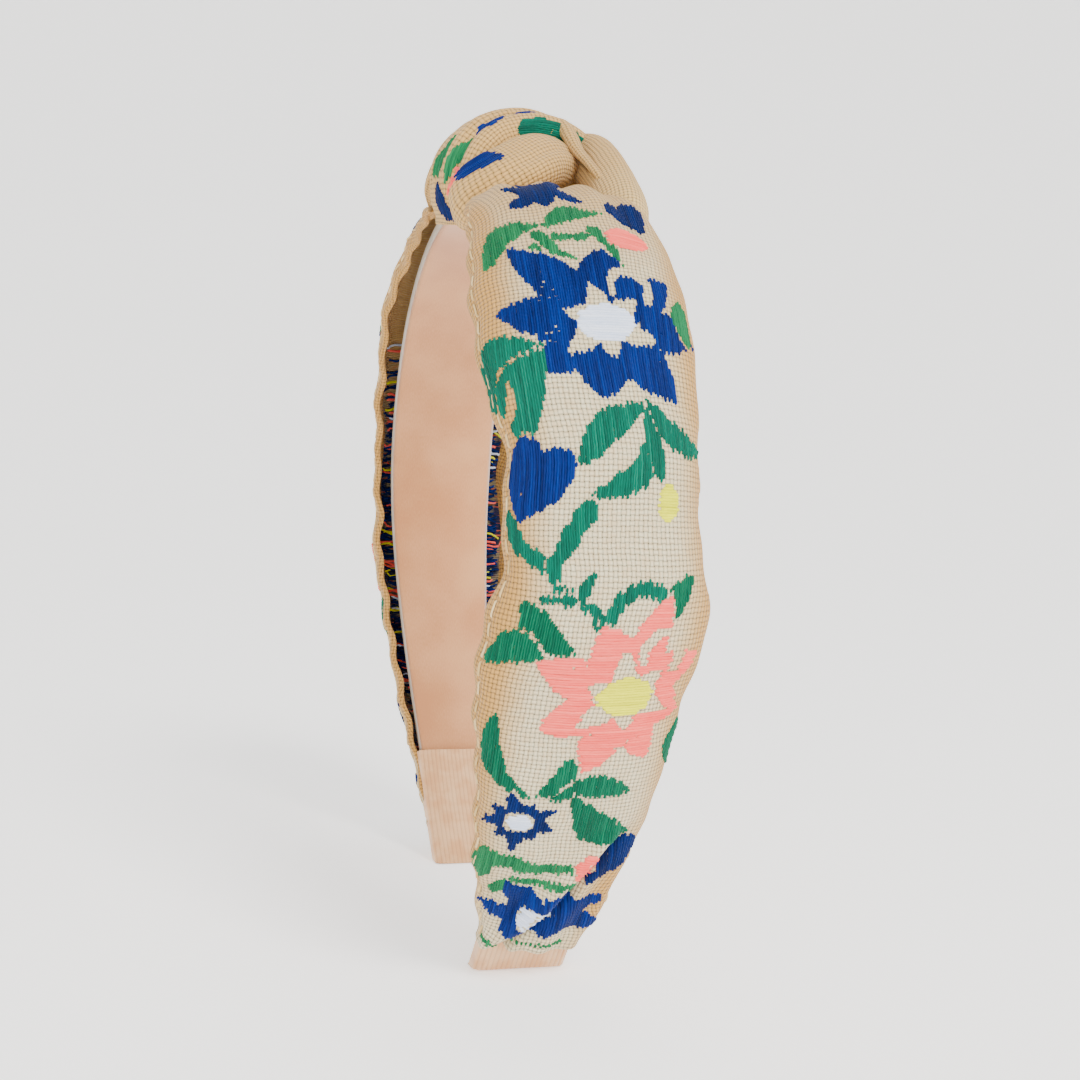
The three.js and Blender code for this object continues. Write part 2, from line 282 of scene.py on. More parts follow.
# ---- materials ---------------------------------------------------------------------------------
class Nodes:
    """A Principled material under construction, with short calls for its nodes."""

    def __init__(self, name, roughness, sheen=0.0, specular=0.35):
        self.material = bpy.data.materials.new(name)
        self.material.use_nodes = True
        self.tree = self.material.node_tree
        self.shader = self.tree.nodes["Principled BSDF"]
        self.shader.inputs["Roughness"].default_value = roughness
        self.shader.inputs["Sheen Weight"].default_value = sheen
        self.shader.inputs["Sheen Roughness"].default_value = 0.5
        self.shader.inputs["Specular IOR Level"].default_value = specular
        coords = self.tree.nodes.new("ShaderNodeTexCoord")
        self.uv, self.object = coords.outputs["UV"], coords.outputs["Object"]

    def set(self, socket, value):
        if isinstance(value, bpy.types.NodeSocket):
            self.tree.links.new(value, socket)
        else:
            socket.default_value = value

    def math(self, operation, a, b=0.0, c=0.0):
        node = self.tree.nodes.new("ShaderNodeMath")
        node.operation = operation
        for socket, value in zip(node.inputs, (a, b, c)):
            self.set(socket, value)
        return node.outputs[0]

    def split(self, vector):
        node = self.tree.nodes.new("ShaderNodeSeparateXYZ")
        self.set(node.inputs[0], vector)
        return node.outputs[0], node.outputs[1]

    def join(self, x, y, z=0.0):
        node = self.tree.nodes.new("ShaderNodeCombineXYZ")
        for socket, value in zip(node.inputs, (x, y, z)):
            self.set(socket, value)
        return node.outputs[0]

    def noise(self, vector, scale, detail=2.0):
        node = self.tree.nodes.new("ShaderNodeTexNoise")
        self.set(node.inputs["Vector"], vector)
        node.inputs["Scale"].default_value = scale
        node.inputs["Detail"].default_value = detail
        return node.outputs["Fac"]

    def step(self, value, low, high, to_low=0.0, to_high=1.0):
        node = self.tree.nodes.new("ShaderNodeMapRange")
        node.interpolation_type = "SMOOTHSTEP"
        for socket, x in zip(node.inputs, (value, low, high, to_low, to_high)):
            self.set(socket, x)
        return node.outputs[0]

    def blend(self, factor, a, b):
        node = self.tree.nodes.new("ShaderNodeMix")
        node.data_type = "RGBA"
        self.set(node.inputs[0], factor)
        for socket, colour in ((node.inputs[6], a), (node.inputs[7], b)):
            self.set(socket, (*colour, 1) if isinstance(colour, tuple) else colour)
        return node.outputs[2]

    def finish(self, colour, height=None, distance=0.0002, strength=1.0):
        self.set(self.shader.inputs["Base Color"], colour)
        if height is not None:
            bump = self.tree.nodes.new("ShaderNodeBump")
            bump.inputs["Strength"].default_value = strength
            bump.inputs["Distance"].default_value = distance
            self.set(bump.inputs["Height"], height)
            self.tree.links.new(bump.outputs[0], self.shader.inputs["Normal"])
        return self.material


def srgb(text):
    """Linear colour from a hex colour."""
    parts = [int(text[i:i + 2], 16) / 255 for i in (0, 2, 4)]
    return tuple(p / 12.92 if p <= 0.04045 else ((p + 0.055) / 1.055) ** 2.4 for p in parts)


WEAVE = 0.78


def linen(name, pale, gold, hole):
    """Plain weave from cloth millimetres in the UVs: x along the band, y across it."""
    n = Nodes(name, 0.82, sheen=0.15, specular=0.2)
    x, y = n.split(n.uv)
    drift = n.noise(n.uv, 0.09)
    warp = n.math("MULTIPLY", n.math("ADD", y, n.math("MULTIPLY", drift, 0.9)), math.pi / WEAVE)
    weft = n.math("MULTIPLY", n.math("ADD", x, n.math("MULTIPLY", drift, 0.7)), math.pi / WEAVE)
    sin_warp, sin_weft = n.math("SINE", warp), n.math("SINE", weft)
    a, b = n.math("ABSOLUTE", sin_warp), n.math("ABSOLUTE", sin_weft)
    over = n.step(n.math("MULTIPLY", sin_warp, sin_weft), -0.12, 0.12)
    warp_top = n.math("MULTIPLY", a, n.math("MULTIPLY_ADD", b, 0.45, 0.55))
    weft_top = n.math("MULTIPLY", b, n.math("MULTIPLY_ADD", a, 0.45, 0.55))
    mixed = n.math("ADD", n.math("MULTIPLY", warp_top, over),
                   n.math("MULTIPLY", weft_top, n.math("SUBTRACT", 1.0, over)))
    slub_along = n.noise(n.join(n.math("MULTIPLY", x, 0.35), n.math("MULTIPLY", y, 2.4)), 1.0, 3.0)
    slub_across = n.noise(n.join(n.math("MULTIPLY", x, 2.4), n.math("MULTIPLY", y, 0.35)), 1.0, 3.0)
    gap = n.math("MAXIMUM", a, b)
    slack = n.step(n.noise(n.uv, 0.9, 2.0), 0.3, 0.7, 0.34, 0.56)
    open_hole = n.math("SUBTRACT", 1.0, n.step(gap, 0.16, slack))
    # Towards the sides (|y| past 9 mm) the weave turns golden: partly the linen's own warmer tone
    # at its hems, partly painted shade on the leg's side walls.
    side_gold_and_shade = n.step(n.math("ABSOLUTE", y), 9.0, 18.0)
    knot = n.step(x, 28.0, 62.0, 0.75, 0.0)
    thread = n.blend(n.math("MAXIMUM", side_gold_and_shade, knot), pale, gold)
    slub = n.math("MULTIPLY", n.math("ADD", slub_along, slub_across), 0.5)
    dark = n.blend(n.step(slub, 0.38, 0.62, 0.30, 0.0), thread, gold)
    # Painted shade: the weave darkens towards the hole colour where its threads dip between crowns.
    groove = n.blend(n.step(mixed, 0.2, 0.85, 0.42, 0.0), dark, hole)
    colour = n.blend(n.math("MULTIPLY", open_hole, 0.92), groove, hole)
    return n.finish(colour, n.math("ADD", mixed, n.math("MULTIPLY", slub, 0.35)), 0.00022, 0.9)


def thread_material(name, colour, shade):
    """Embroidery thread: UV x runs along it in mm, y is a number of its own."""
    n = Nodes(name, 0.55, sheen=0.0, specular=0.12)
    x, y = n.split(n.uv)
    own = n.noise(n.join(n.math("MULTIPLY", x, 0.06), n.math("MULTIPLY", y, 31.0)), 1.0, 1.0)
    strand = n.noise(n.join(n.math("MULTIPLY", x, 0.8), n.math("MULTIPLY", y, 700.0)), 1.0, 3.0)
    tone = n.math("ADD", n.math("MULTIPLY", own, 0.8), n.math("MULTIPLY", strand, 0.4))
    twist = n.math("SINE", n.math("MULTIPLY", x, 9.0))
    height = n.math("ADD", strand, n.math("MULTIPLY", twist, 0.2))
    return n.finish(n.blend(n.step(tone, 0.35, 0.85), shade, colour), height, 0.00008, 0.7)


LINEN = linen("linen", srgb("DED2AE"), srgb("C8964C"), srgb("302C1C"))
LINEN_KNOT = linen("linen_knot", srgb("E0C488"), srgb("CC9C54"), srgb("3C2E18"))
THREADS = {
    "navy": thread_material("thread_navy", srgb("00297C"), srgb("001042")),
    "ink": thread_material("thread_ink", srgb("002264"), srgb("000E38")),
    "emerald": thread_material("thread_emerald", srgb("007058"), srgb("004436")),
    "leaf": thread_material("thread_leaf", srgb("1F7F4C"), srgb("0E5434")),
    "pine": thread_material("thread_pine", srgb("006C4C"), srgb("004632")),
    "coral": thread_material("thread_coral", srgb("FF7468"), srgb("EC544C")),
    "yellow": thread_material("thread_yellow", srgb("ECEC14"), srgb("CECE0A")),
    "white": thread_material("thread_white", srgb("E6ECF8"), srgb("C6D2EA")),
    "hem": thread_material("thread_hem", srgb("E2C896"), srgb("C6A468")),
}
ACROSS = ("coral", "yellow", "white")


# ---- motifs ------------------------------------------------------------------------------------
# Each is a test on arrays of cloth coordinates, w across and s along, in millimetres.
def stroke(points, start, end):
    """A brush line through points, its width running from start to end."""
    points = np.array(points, float)

    def test(w, s):
        found = np.zeros(w.shape, bool)
        for k in range(len(points) - 1):
            p, d = points[k], points[k + 1] - points[k]
            t = np.clip(((w - p[0]) * d[0] + (s - p[1]) * d[1]) / (d @ d), 0, 1)
            wide = start + (end - start) * (k + t) / (len(points) - 1)
            found |= np.hypot(w - p[0] - t * d[0], s - p[1] - t * d[1]) < wide / 2
        return found

    return test


def leaf(tip, base, width, bend=0.15):
    """A pointed lens from tip to base, bent to one side."""
    (w0, s0), (w1, s1) = tip, base
    length = math.hypot(w1 - w0, s1 - s0)
    cos, sin = (w1 - w0) / length, (s1 - s0) / length

    def test(w, s):
        t = ((w - w0) * cos + (s - s0) * sin) / length
        d = -(w - w0) * sin + (s - s0) * cos - bend * length * np.sin(np.pi * np.clip(t, 0, 1))
        lens = np.sin(np.pi * np.clip(t, 0, 1) ** 0.8) ** 0.75
        return (t > 0) & (t < 1) & (np.abs(d) < width / 2 * lens)

    return test


def star(w0, s0, tips, inner, turn=0.0, squash=1.0, bulge=1.0):
    """Petals: tips lists how far each reaches, inner is the waist between two.

    With a bulge of 1 the reach falls evenly with the angle; less than 1 pinches the petals.
    """
    count = len(tips)

    def test(w, s):
        angle = (np.arctan2((s - s0) / squash, w - w0) - turn) / (2 * np.pi) * count
        k = np.round(angle)
        reach = np.array(tips)[k.astype(int) % count]
        part = 2 * np.abs(angle - k)
        return np.hypot(w - w0, (s - s0) / squash) < reach + (inner - reach) * part ** bulge

    return test


def oval(w0, s0, across, along):
    return lambda w, s: np.hypot((w - w0) / across, (s - s0) / along) < 1


def heart(w0, s0, size, turn=0.0):
    """A heart about w0 and s0, turned by an angle."""
    def test(w, s):
        x = ((w - w0) * math.cos(turn) + (s - s0) * math.sin(turn)) / size
        y = (-(w - w0) * math.sin(turn) + (s - s0) * math.cos(turn)) / size
        return (x * x + (y + 0.75 * np.sqrt(np.abs(x)) - 0.1) ** 2) < 0.8

    return test


def crescent(w0, s0, radius, width, start, end):
    """Part of a ring, from start to end in radians from +w towards +s."""
    angles = np.linspace(start, end, 9)
    points = [(w0 + radius * math.cos(a), s0 + radius * math.sin(a)) for a in angles]
    return stroke(points, width * 0.7, width)


# ---- stitching ---------------------------------------------------------------------------------
LANE = 0.42
STEP = 0.4
LONGEST_FLOAT = 13.0
SHORTEST_FLOAT = 0.7
WIDEST_CLOTH = 32
BARE_EDGE = 1.0
COLOUR_SHIFT = 40
SECTION = np.array([(-0.24, -0.10), (-0.17, 0.09), (0.0, 0.18), (0.17, 0.09), (0.24, -0.10)])


def label_grid(motifs, w, s):
    """The number of the last motif over each point, or -1."""
    grid = np.full(w.shape, -1)
    for k, (_, test) in enumerate(motifs):
        grid[test(w, s)] = k
    return grid


def runs_of(motifs, surface, across, from_s, to_s):
    """Every float as (colour, lane, start, end); across says that floats run along w."""
    lanes_w = np.arange(-WIDEST_CLOTH, WIDEST_CLOTH, LANE if not across else STEP)
    lanes_s = np.arange(from_s, to_s, STEP if not across else LANE)
    w, s = np.meshgrid(lanes_w, lanes_s, indexing="ij")
    grid = label_grid(motifs, w, s)
    grid[surface.margin(w, s) < BARE_EDGE] = -1
    colours = [m[0] for m in motifs] + [None]
    wanted = np.array([c is not None and (c in ACROSS) == across for c in colours])
    grid[~wanted[grid]] = -1
    if across:
        grid = grid.T
    lanes, along = (lanes_s, lanes_w) if across else (lanes_w, lanes_s)
    found = []
    for lane, row in zip(lanes, grid):
        edges = np.flatnonzero(np.diff(np.concatenate([[-1], row, [-1]])))
        for start, end in zip(edges[:-1], edges[1:]):
            if row[start] < 0:
                continue
            offset = WEAVE * ((lane / LANE) // 1 % 2) / 2
            low = round((along[start] - offset) / WEAVE) * WEAVE + offset
            high = round((along[end - 1] - offset) / WEAVE) * WEAVE + offset
            if high - low < SHORTEST_FLOAT:
                continue
            cuts = [low]
            while high - cuts[-1] > LONGEST_FLOAT:
                cuts.append(cuts[-1] + rng.uniform(0.45, 0.8) * LONGEST_FLOAT)
            cuts.append(high)
            found += [(colours[row[start]], lane, a, b) for a, b in zip(cuts[:-1], cuts[1:])]
    return found


def thread_piece(name, surface, runs, material, across, bound=False, height=0.16,
                 slack=0.04):
    """One mesh for all the floats of a colour; bound floats dip at every second thread."""
    points, faces, uvs, base = [], [], [], 0
    for lane, start, end in runs:
        start, end = start + rng.uniform(-0.2, 0.2), end + rng.uniform(-0.2, 0.2)
        length = end - start
        pitch = WEAVE if bound else 1.5
        count = max(int(round(length / pitch)), 1) + 3
        if length > 1.4:
            middle = np.linspace(0.6, length - 0.6, count - 2)
            t = np.concatenate([[0, 0.25], middle, [length - 0.25, length]])
        else:
            t = np.linspace(0, length, 4)
        rise = np.full(len(t), height * rng.uniform(0.8, 1.25))
        rise[[0, -1]] = -0.12
        rise[[1, -2]] *= 0.75
        if bound:
            rise[2:-2:2] *= 0.45
        sway = np.convolve(rng.normal(0, slack, len(t) + 2), [0.3, 0.4, 0.3], "valid")
        scale = np.ones(len(t))
        scale[[0, -1]] = 0.55
        side = lane + sway[:, None] + SECTION[:, 0] * scale[:, None]
        ahead = np.repeat((start + t)[:, None], 5, 1)
        lift = rise[:, None] + SECTION[:, 1] * scale[:, None]
        w, s = (ahead, side) if across else (side, ahead)
        points.append(np.stack([w, s, lift], -1).reshape(-1, 3))
        own = rng.uniform(0, 1)
        for i in range(len(t) - 1):
            for j in range(4):
                p = base + i * 5 + j
                faces.append((p, p + 1, p + 6, p + 5))
                near, far = t[i] + COLOUR_SHIFT * own, t[i + 1] + COLOUR_SHIFT * own
                low, high = own + 0.001 * j, own + 0.001 * (j + 1)
                uvs += [(near, low), (near, high), (far, high), (far, low)]
        base += 5 * len(t)
    flat = np.concatenate(points)
    placed = surface.place(flat[:, 0], flat[:, 1], flat[:, 2])
    a, b, c = (placed[[f[k] for f in faces[:400]]] for k in (0, 1, 2))
    towards = surface.place(flat[:, 0], flat[:, 1], flat[:, 2] + 1) - placed
    facing = np.einsum("ij,ij->i", np.cross(b - a, c - b), towards[[f[0] for f in faces[:400]]])
    if facing.sum() < 0:
        faces = [f[::-1] for f in faces]
        uvs = [uvs[4 * k + m] for k in range(len(faces)) for m in (3, 2, 1, 0)]
    return mesh_piece(name, placed, faces, uvs, [material])


BOUND = ("leaf", "emerald", "pine", "ink")


def embroider(prefix, surface, motifs, from_s, to_s):
    """A piece of thread for each colour of the motifs."""
    by_colour = {}
    for across in (False, True):
        for colour, *run in runs_of(motifs, surface, across, from_s, to_s):
            by_colour.setdefault(colour, []).append(run)
    return [
        thread_piece(f"{prefix}_{colour}", surface, runs, THREADS[colour],
                     colour in ACROSS, bound=colour in BOUND)
        for colour, runs in sorted(by_colour.items())
    ]


# ---- the cover ---------------------------------------------------------------------------------
ROUNDING = 3
INNER_PITCH = 1.25


def wrong_side():
    """The back of the weave: dark grounds crossed by stray coloured floats."""
    n = Nodes("wrong_side", 0.85, sheen=0.2, specular=0.15)
    x, y = n.split(n.uv)
    patch = n.noise(n.join(n.math("MULTIPLY", x, 0.10), n.math("MULTIPLY", y, 0.16)), 1.0, 2.0)
    rows = n.math("ABSOLUTE", n.math("SINE", n.math("MULTIPLY", x, math.pi / 0.5)))
    flecks = n.noise(n.join(n.math("MULTIPLY", x, 1.8), n.math("MULTIPLY", y, 0.2)), 1.0, 2.0)
    ground = n.blend(n.step(patch, 0.44, 0.56), srgb("1A2148"), srgb("8F8264"))
    colour = n.blend(n.step(flecks, 0.56, 0.66), ground, srgb("C9614C"))
    # Painted shade: the ground darkens between the rows of stitches, where the rows' height dips.
    dark = n.blend(n.step(rows, 0.0, 0.5, 0.5, 0.0), colour, srgb("12142A"))
    return n.finish(n.blend(n.step(x, 60.0, 84.0), srgb("C09A60"), dark), rows, 0.0003, 0.8)


WRONG_SIDE = wrong_side()


def cover_piece(side, name):
    """One leg's cloth as a closed shell, and its outer surface."""
    outer, across, inner = LEGS[side]
    s = np.linspace(COVER_FROM, COVER_TO, COVER_ROWS)
    rims = []
    ends = ((outer[:, -1], inner[:, 0], outer[:, -1] - outer[:, -4]),
            (inner[:, -1], outer[:, 0], outer[:, 0] - outer[:, 3]))
    for a, b, out in ends:
        middle, radius = (a + b) / 2, np.linalg.norm(a - b, axis=1, keepdims=True) / 2
        out = out / np.linalg.norm(out, axis=1, keepdims=True) * radius
        angles = np.linspace(0, np.pi, ROUNDING + 2)[1:-1]
        rims.append(np.stack([middle + (a - middle) * math.cos(k) + out * math.sin(k)
                              for k in angles], 1))
    rings = np.concatenate([outer, rims[0], inner, rims[1]], 1)
    steps = np.linalg.norm(np.diff(np.concatenate([rings, rings[:, :1]], 1), axis=1), axis=2)
    v = np.concatenate([np.zeros((len(s), 1)), np.cumsum(steps, 1)], 1) + across[:, :1]
    uv = np.stack([np.repeat(s[:, None], v.shape[1], 1), v], -1)
    turned = math.ceil(HEM_WIDTH / INNER_PITCH)
    ring_material = [0] * rings.shape[1]
    first = OUTER_COLS + ROUNDING
    for j in range(first + turned, first + INNER_COLS - turned):
        ring_material[j] = 1
    piece = tube_piece(name, rings, uv, [LINEN, WRONG_SIDE],
                       ring_material=ring_material)
    return piece, Surface(outer, s, across, flip=-side)


def bloom(ground, w, s, tips, inner, turn, heart_colour, squash=1.0, eye=(5.2, 3.2)):
    """A big flower with a bare star in it, round an oval of pale floats."""
    return [
        (ground, star(w, s, tips, inner, turn, squash)),
        (None, star(w + 0.3, s + 0.4, [9.5, 6.5, 9.5, 7, 9, 8], 3.9, 0.35, 0.85, 0.75)),
        (None, crescent(w + 5.6, s - 6.2, 3.4, 1.8, -3.4, 0.6)),
        (heart_colour, oval(w + 0.5, s + 0.3, *eye)),
    ]


# One leg's motifs, from the crown down; the other leg is the same weave, shifted.
LEG_MOTIFS = [
    ("ink", star(-6, 33.0, [9, 6, 8, 6.5, 8, 7], 3.4, 0.3, 0.85)),
    ("leaf", leaf((-18, 50), (-6.5, 42), 5.6, -0.24)),
    ("leaf", leaf((-7, 43), (5, 38.5), 4.2, -0.12)),
    ("leaf", stroke([(-9, 47.5), (-5, 45.5), (-1, 45.8), (3, 44)], 2.4, 2.0)),
    ("leaf", stroke([(-8, 44.5), (-5.5, 48.5), (-2.5, 50)], 2.6, 1.4)),
    ("leaf", stroke([(2, 43.5), (4.5, 47.5), (5.5, 53.5)], 2.8, 1.2)),
    ("ink", heart(10.5, 38.5, 4.4, -0.5)),
    ("coral", oval(8.0, 44.8, 4.4, 2.6)),
    *bloom("navy", 0.5, 62, [17.5, 18.5, 15, 16.5, 18.5, 23, 17, 16.5], 11.5, 0.12, "white", 0.86),
    ("leaf", leaf((15.5, 56), (16.5, 65), 4.0, 0.1)),
    ("emerald", leaf((-22, 75), (-9.5, 66), 7.2, -0.3)),
    ("emerald", leaf((-16, 80), (-10, 66.5), 8.6, -0.14)),
    (None, leaf((-18.5, 78), (-16.5, 71), 1.8, 0.1)),
    ("emerald", leaf((-7, 84), (6.5, 75), 5.0, -0.1)),
    ("emerald", leaf((-4.5, 88.5), (6.5, 76), 4.8, 0.22)),
    ("emerald", leaf((7.6, 86.5), (6.4, 73), 3.2, -0.06)),
    ("emerald", leaf((17.5, 81), (5.5, 73.5), 4.2, -0.16)),
    ("yellow", oval(9.2, 89, 2.4, 2.8)),
    ("navy", heart(-14.4, 87.5, 6.6, 0.35)),
    ("emerald", stroke([(-18.5, 91.5), (-16.5, 95.5), (-12.2, 98)], 2.6, 3.0)),
    ("emerald", stroke([(-4.8, 90.5), (-8.2, 94.5), (-11.2, 98.5), (-9.5, 102)], 3.6, 2.0)),
    ("emerald", stroke([(-9.5, 101.5), (-6.4, 102.8), (-3, 105), (-1.2, 108.5)], 2.0, 2.2)),
    ("emerald", stroke([(-12, 103), (-7.5, 103)], 1.6, 2.2)),
    ("emerald", leaf((-3.8, 98.5), (-6, 104.5), 2.2, 0.1)),
    ("emerald", stroke([(-1.6, 107), (0.5, 103), (4, 101), (7.6, 101.8), (8.8, 104.3)], 2.6, 3.0)),
    ("pine", leaf((13.2, 99), (9.8, 108), 4.2, 0.12)),
    ("pine", leaf((-15.5, 103.5), (-5.2, 110.5), 5.4, 0.12)),
    ("pine", leaf((-21, 113), (-9.2, 111.8), 5.2, -0.2)),
    *bloom("coral", 4.2, 117, [12.5, 14, 15.5, 15, 17, 13, 17.5, 14.5], 9.4, 0.32, "yellow", 0.92),
    ("pine", leaf((18.0, 123), (17.2, 132), 3.4, 0.2)),
    ("pine", leaf((-16.2, 121), (-8.2, 136), 4.2, 0.22)),
    ("pine", leaf((-2.6, 127.5), (-8.4, 135.5), 4.4, -0.18)),
    ("pine", leaf((8.6, 134.2), (-5.4, 136), 5.0, 0.14)),
    ("pine", leaf((11.4, 144.5), (-1.6, 134.5), 6.2, -0.14)),
    ("ink", star(-9.6, 140.4, [7, 5.2, 7.6, 5.6, 7, 6.2, 7.4, 5.4, 7.2], 3.9, 0.2, 0.85)),
    ("white", oval(-9.6, 140.4, 2.5, 1.5)),
    ("leaf", stroke([(-14.6, 152), (-13.6, 149), (-8.5, 149.4), (-4, 150.4), (2, 150)], 5.2, 1.8)),
    ("leaf", stroke([(-11, 156.5), (-8, 153.2), (-3, 153.8), (4.5, 153)], 2.6, 1.8)),
    ("navy", star(-1, 161, [14, 10, 10, 13.5, 14, 10, 12], 7.2, 0.5, 0.66)),
    ("white", oval(-2.4, 161.4, 3.4, 2.6)),
    ("ink", leaf((13, 144.5), (5.6, 155), 6.4, 0.0)),
    ("coral", oval(4.6, 150.4, 2.8, 3.2)),
    ("leaf", stroke([(-9.5, 169), (-3, 170), (4, 169)], 1.8, 1.4)),
]


def shifted(motifs, dw, ds):
    """The same motifs moved across and along the cloth."""
    return [(c, lambda w, s, test=test: test(w - dw, s - ds)) for c, test in motifs]


def flipped(motifs):
    """The same motifs turned left for right."""
    return [(c, lambda w, s, test=test: test(-w, s)) for c, test in motifs]


covers, cloth_surface = {}, {}
for side, name in ((1, "right"), (-1, "left")):
    covers[side], cloth_surface[side] = cover_piece(side, f"cover_{name}")
    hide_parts(f"cover_leg_{name}")
    motifs = LEG_MOTIFS if side == 1 else shifted(flipped(LEG_MOTIFS), -1.5, -4.0)
    embroider(f"floats_{name}", cloth_surface[side], motifs, 26, 170)


def back_floats(side, name):
    """The wrong side's loose floats, seen between the lining and the hems."""
    inner = LEGS[side][2]
    s = np.linspace(COVER_FROM, COVER_TO, COVER_ROWS)
    steps = np.linalg.norm(np.diff(inner, axis=1), axis=2)
    w = np.concatenate([np.zeros((len(s), 1)), np.cumsum(steps, 1)], 1)
    surface = Surface(inner, s, w - w[:, -1:] / 2, flip=-side)
    by_colour = {}
    for lane in np.arange(60, 166, 0.5):
        if rng.uniform() > (lane - 58) / 24:
            continue
        for edge in (-1, 1):
            reach = float(surface.margin(np.array(0.0), np.array(lane))) - HEM_WIDTH
            colour = rng.choice(["ink", "navy", "ink", "coral", "yellow", "white"],
                                p=[0.34, 0.2, 0.14, 0.16, 0.09, 0.07])
            start = reach - rng.uniform(5.0, 11.0)
            run = (lane, start, reach + rng.uniform(-1.2, 1.0))
            if edge < 0:
                run = (lane, -run[2], -run[1])
            by_colour.setdefault(colour, []).append(run)
    for colour, runs in sorted(by_colour.items()):
        thread_piece(f"back_{name}_{colour}", surface, runs, THREADS[colour],
                     True, height=0.35, slack=0.5)


for side, name in ((1, "right"), (-1, "left")):
    back_floats(side, name)


def hem_stitches(side, edge, name):
    """Running stitches along one hem, laid in their groove."""
    surface = cloth_surface[side]
    runs = []
    for s in np.arange(COVER_FROM + 18, COVER_TO - 3, 3.3):
        w = float(np.interp(s, surface.s, surface.high if edge > 0 else surface.low))
        runs.append((w - edge * STITCH_LINE, s, s + 2.6))
    return thread_piece(name, surface, runs, THREADS["hem"], False, height=0.18)


for side, name in ((1, "right"), (-1, "left")):
    for edge, place in ((-1, "front"), (1, "rear")):
        row = hem_stitches(side, edge, f"stitches_{name}_{place}")
        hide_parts(f"hem_thread_{name}_{place}")


# ---- the knot ----------------------------------------------------------------------------------
def crown_point(x, y, up):
    """A point `up` above the band's outer face near the crown."""
    drop = CROWN_RADIUS - math.sqrt(CROWN_RADIUS ** 2 - x * x)
    return np.array([x, y, BAND_HEIGHT + BAND_THICK + up - drop])


def through(points, count):
    """A smooth curve through points, in even steps."""
    p = np.array([2 * points[0] - points[1], *points, 2 * points[-1] - points[-2]])
    fine = []
    for i in range(1, len(p) - 2):
        t = np.linspace(0, 1, 40, endpoint=i == len(p) - 3)[:, None]
        a, b, c, d = p[i - 1], p[i], p[i + 1], p[i + 2]
        fine.append(0.5 * (2 * b + (c - a) * t + (2 * a - 5 * b + 4 * c - d) * t ** 2
                           + (3 * b - a - 3 * c + d) * t ** 3))
    fine = np.concatenate(fine)
    length = np.concatenate([[0], np.cumsum(np.linalg.norm(np.diff(fine, axis=0), axis=1))])
    even = np.linspace(0, length[-1], count)
    return np.stack([np.interp(even, length, fine[:, k]) for k in range(3)], 1), even


def turned(path):
    """The same path after half a turn about the vertical."""
    return [(-x, -y, up) for x, y, up in path]


ROLL_ROWS, ROLL_COLS = 90, 84
ROLL_SQUARENESS = 0.82


def roll(name, path, widths, thicks, folds, s_shift=0.0, motifs=()):
    """Cloth gathered into a fat strap, open at its hidden ends: folds(t, w) is the creases' height.
    Returns the piece and its girth and length in metres."""
    centre, run = through([crown_point(*p) for p in path], ROLL_ROWS)
    t = run / run[-1]
    along = np.gradient(centre, axis=0)
    along /= np.linalg.norm(along, axis=1, keepdims=True)
    hub = np.stack([centre[:, 0] * 0.4, 0 * t, np.full(len(t), crown_point(0, 0, -4)[2])], 1)
    out = centre - hub
    out -= along * (out * along).sum(1, keepdims=True)
    out /= np.linalg.norm(out, axis=1, keepdims=True)
    across = np.cross(along, out)
    angle = -np.pi / 2 + 2 * np.pi * np.arange(ROLL_COLS) / ROLL_COLS
    stations = np.linspace(0, 1, len(widths))
    wide, thick = np.interp(t, stations, widths) / 2, np.interp(t, stations, thicks) / 2
    closing = np.sqrt(np.clip(1 - (2 * t - 1) ** 16, 0.7, 1))
    c, s = np.cos(angle), np.sin(angle)
    ring_a = (np.sign(c) * np.abs(c) ** ROLL_SQUARENESS)[None] * (wide * closing)[:, None]
    ring_o = (np.sign(s) * np.abs(s) ** ROLL_SQUARENESS)[None] * (thick * closing)[:, None]
    steps = np.hypot(np.diff(ring_a, axis=1), np.diff(ring_o, axis=1))
    w = np.concatenate([np.zeros((len(t), 1)), np.cumsum(steps, 1)], 1)
    w -= w[:, -1:] / 2
    normal = np.stack([np.cos(angle) / wide.mean(), np.sin(angle) / thick.mean()], 1)
    normal /= np.linalg.norm(normal, axis=1, keepdims=True)
    lift = folds(t[:, None], w)
    ring_a = ring_a + normal[None, :, 0] * lift
    ring_o = ring_o + normal[None, :, 1] * lift
    rings = centre[:, None] + across[:, None] * ring_a[..., None] + out[:, None] * ring_o[..., None]
    v = np.concatenate([w, w[:, -1:] + steps[:, :1]], 1)
    uv = np.stack([np.repeat(run[:, None] + s_shift, v.shape[1], 1), v], -1)
    piece = tube_piece(name, rings, uv, [LINEN_KNOT], (0, ROLL_ROWS - 1), True)
    girth = float((w[:, -1] - w[:, 0] + steps[:, 0]).mean())
    surface = Surface(rings, run, w, flip=1)
    at = np.array([0.0]), np.array([run[-1] / 2])
    above, below = (surface.place(*at, np.array([height]))[0] for height in (1.0, -1.0))
    if np.dot(above - below, out[ROLL_ROWS // 2]) < 0:
        surface.normal = -surface.normal
    if motifs:
        embroider(f"floats_{name}", surface, list(motifs), 1.0, run[-1] - 1.0)
    return piece, (girth * MM, float(run[-1]) * MM)


def creased(depths):
    """Long creases: (where at the start, where at the end, depth, width) in mm of w."""
    def folds(t, w):
        lift = 0.22 * np.sin(9 * t + 0.5 * w) * np.sin(np.pi * t)
        for start, end, depth, width in depths:
            line = start + (end - start) * t
            lift = lift - depth * ridge(w - line, width) * smooth(t, 0.02, 0.2)
        return lift

    return folds


